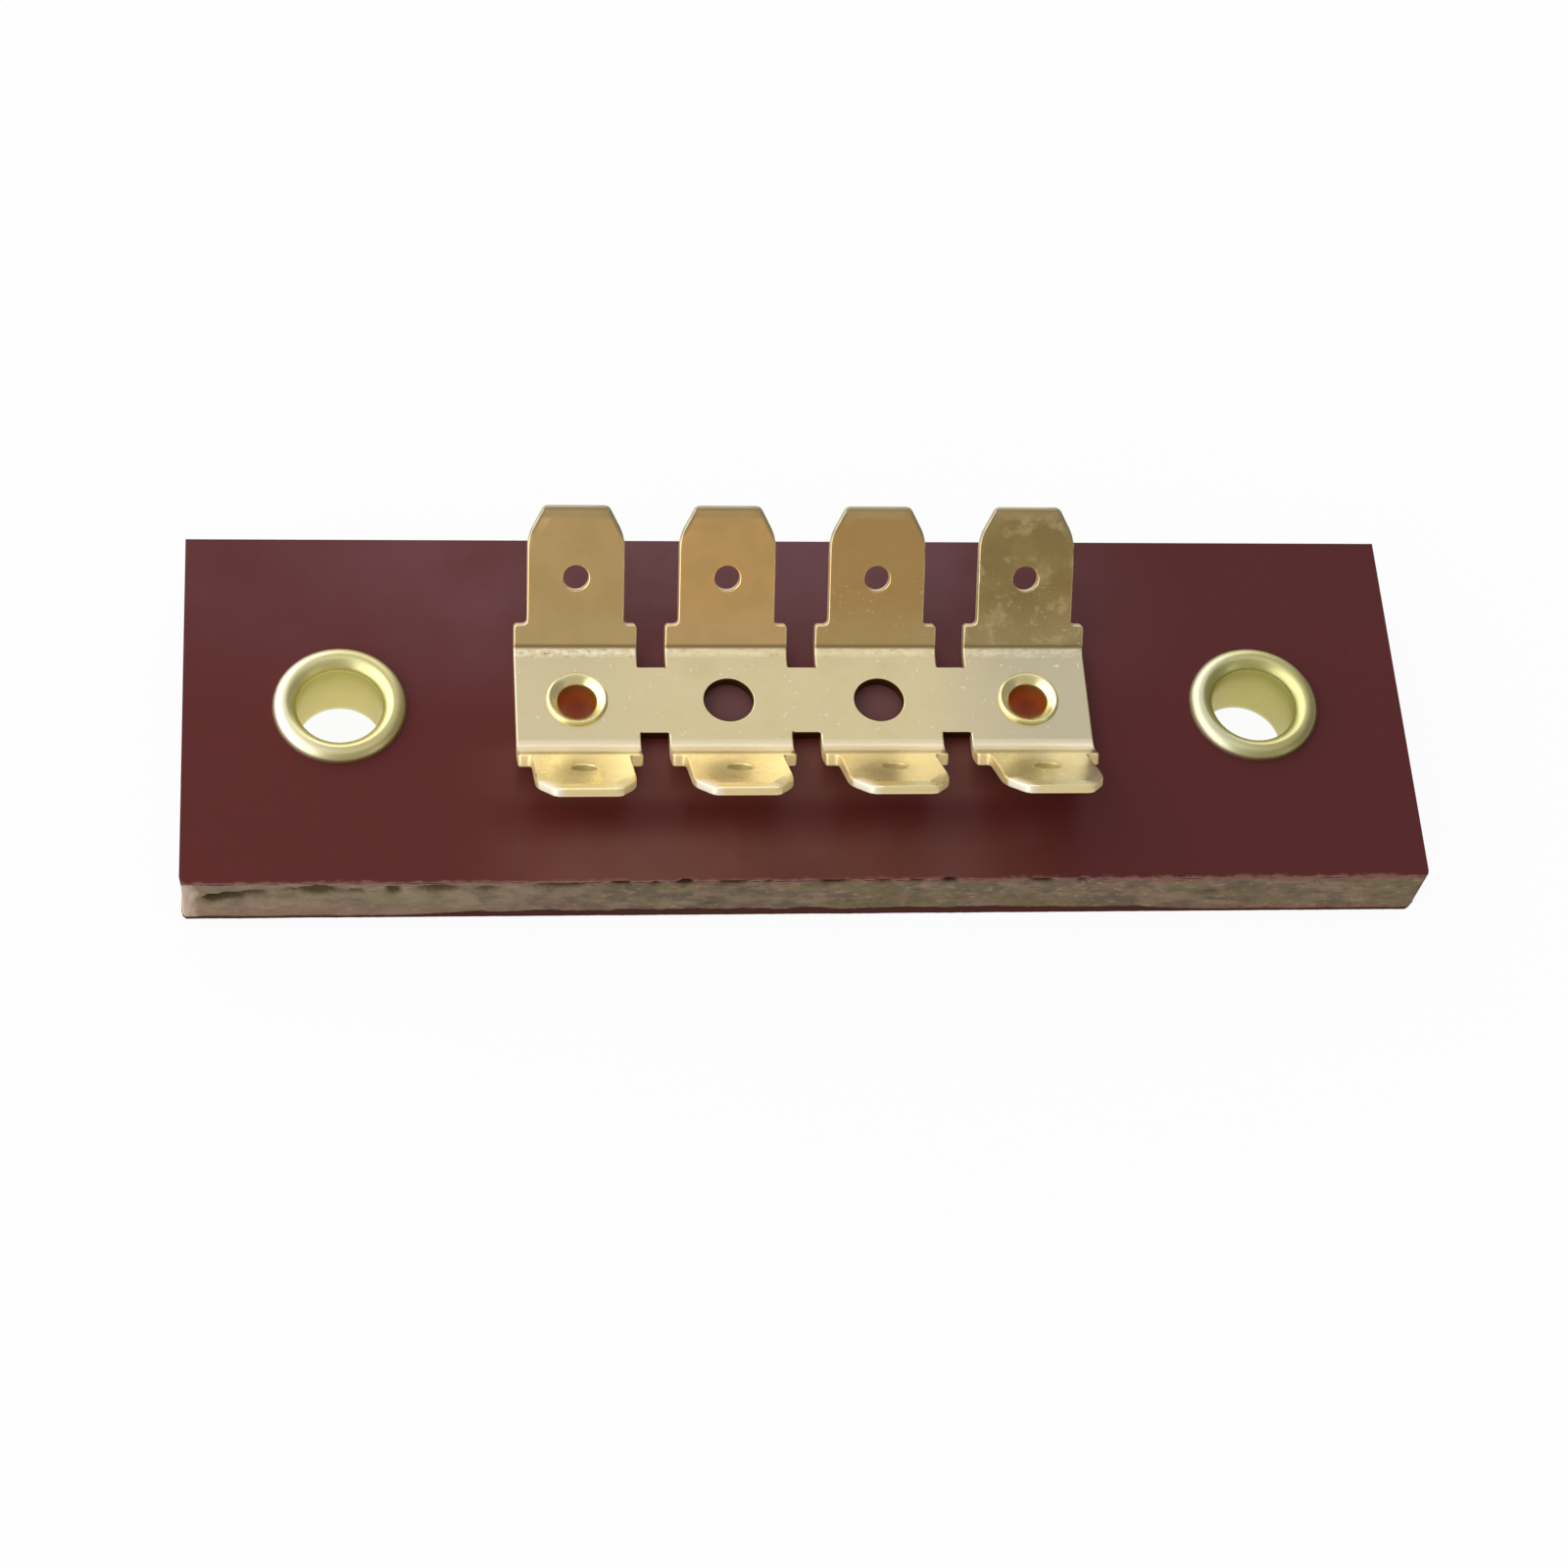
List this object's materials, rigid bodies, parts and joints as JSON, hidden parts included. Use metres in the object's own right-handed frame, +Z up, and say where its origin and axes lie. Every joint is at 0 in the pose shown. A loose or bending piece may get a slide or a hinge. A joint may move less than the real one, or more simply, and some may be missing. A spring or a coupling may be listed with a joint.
{
  "type": "quick-connect terminal board",
  "caption": "Flat laminate terminal board with a folded brass strip of push-on tabs, held by hollow rivets, and brass eyelets for its mounting screws.",
  "frame": {"origin": "middle between the two mounting holes, on the plane that the eyelets' feet stand on", "axes": "+X along the board towards the right eyelet, +Y towards the rear tabs, +Z up from the board"},
  "size_m": [0.08, 0.026, 0.0125],
  "materials": {
    "laminate": "satin dark red laminate faces, tan fibrous sawn edges",
    "strip_brass": "rolled sheet, satin, a little tarnished on the rear tabs",
    "eyelet_brass": "bright, smooth",
    "rivet_brass": "bright, smooth"
  },
  "bodies": {
    "root": {"board": "laminate", "terminal_strip": "strip_brass", "mounting_eyelet_left": "eyelet_brass", "mounting_eyelet_right": "eyelet_brass", "strip_rivet_left": "rivet_brass", "strip_rivet_right": "rivet_brass"}
  },
  "joints": []
}
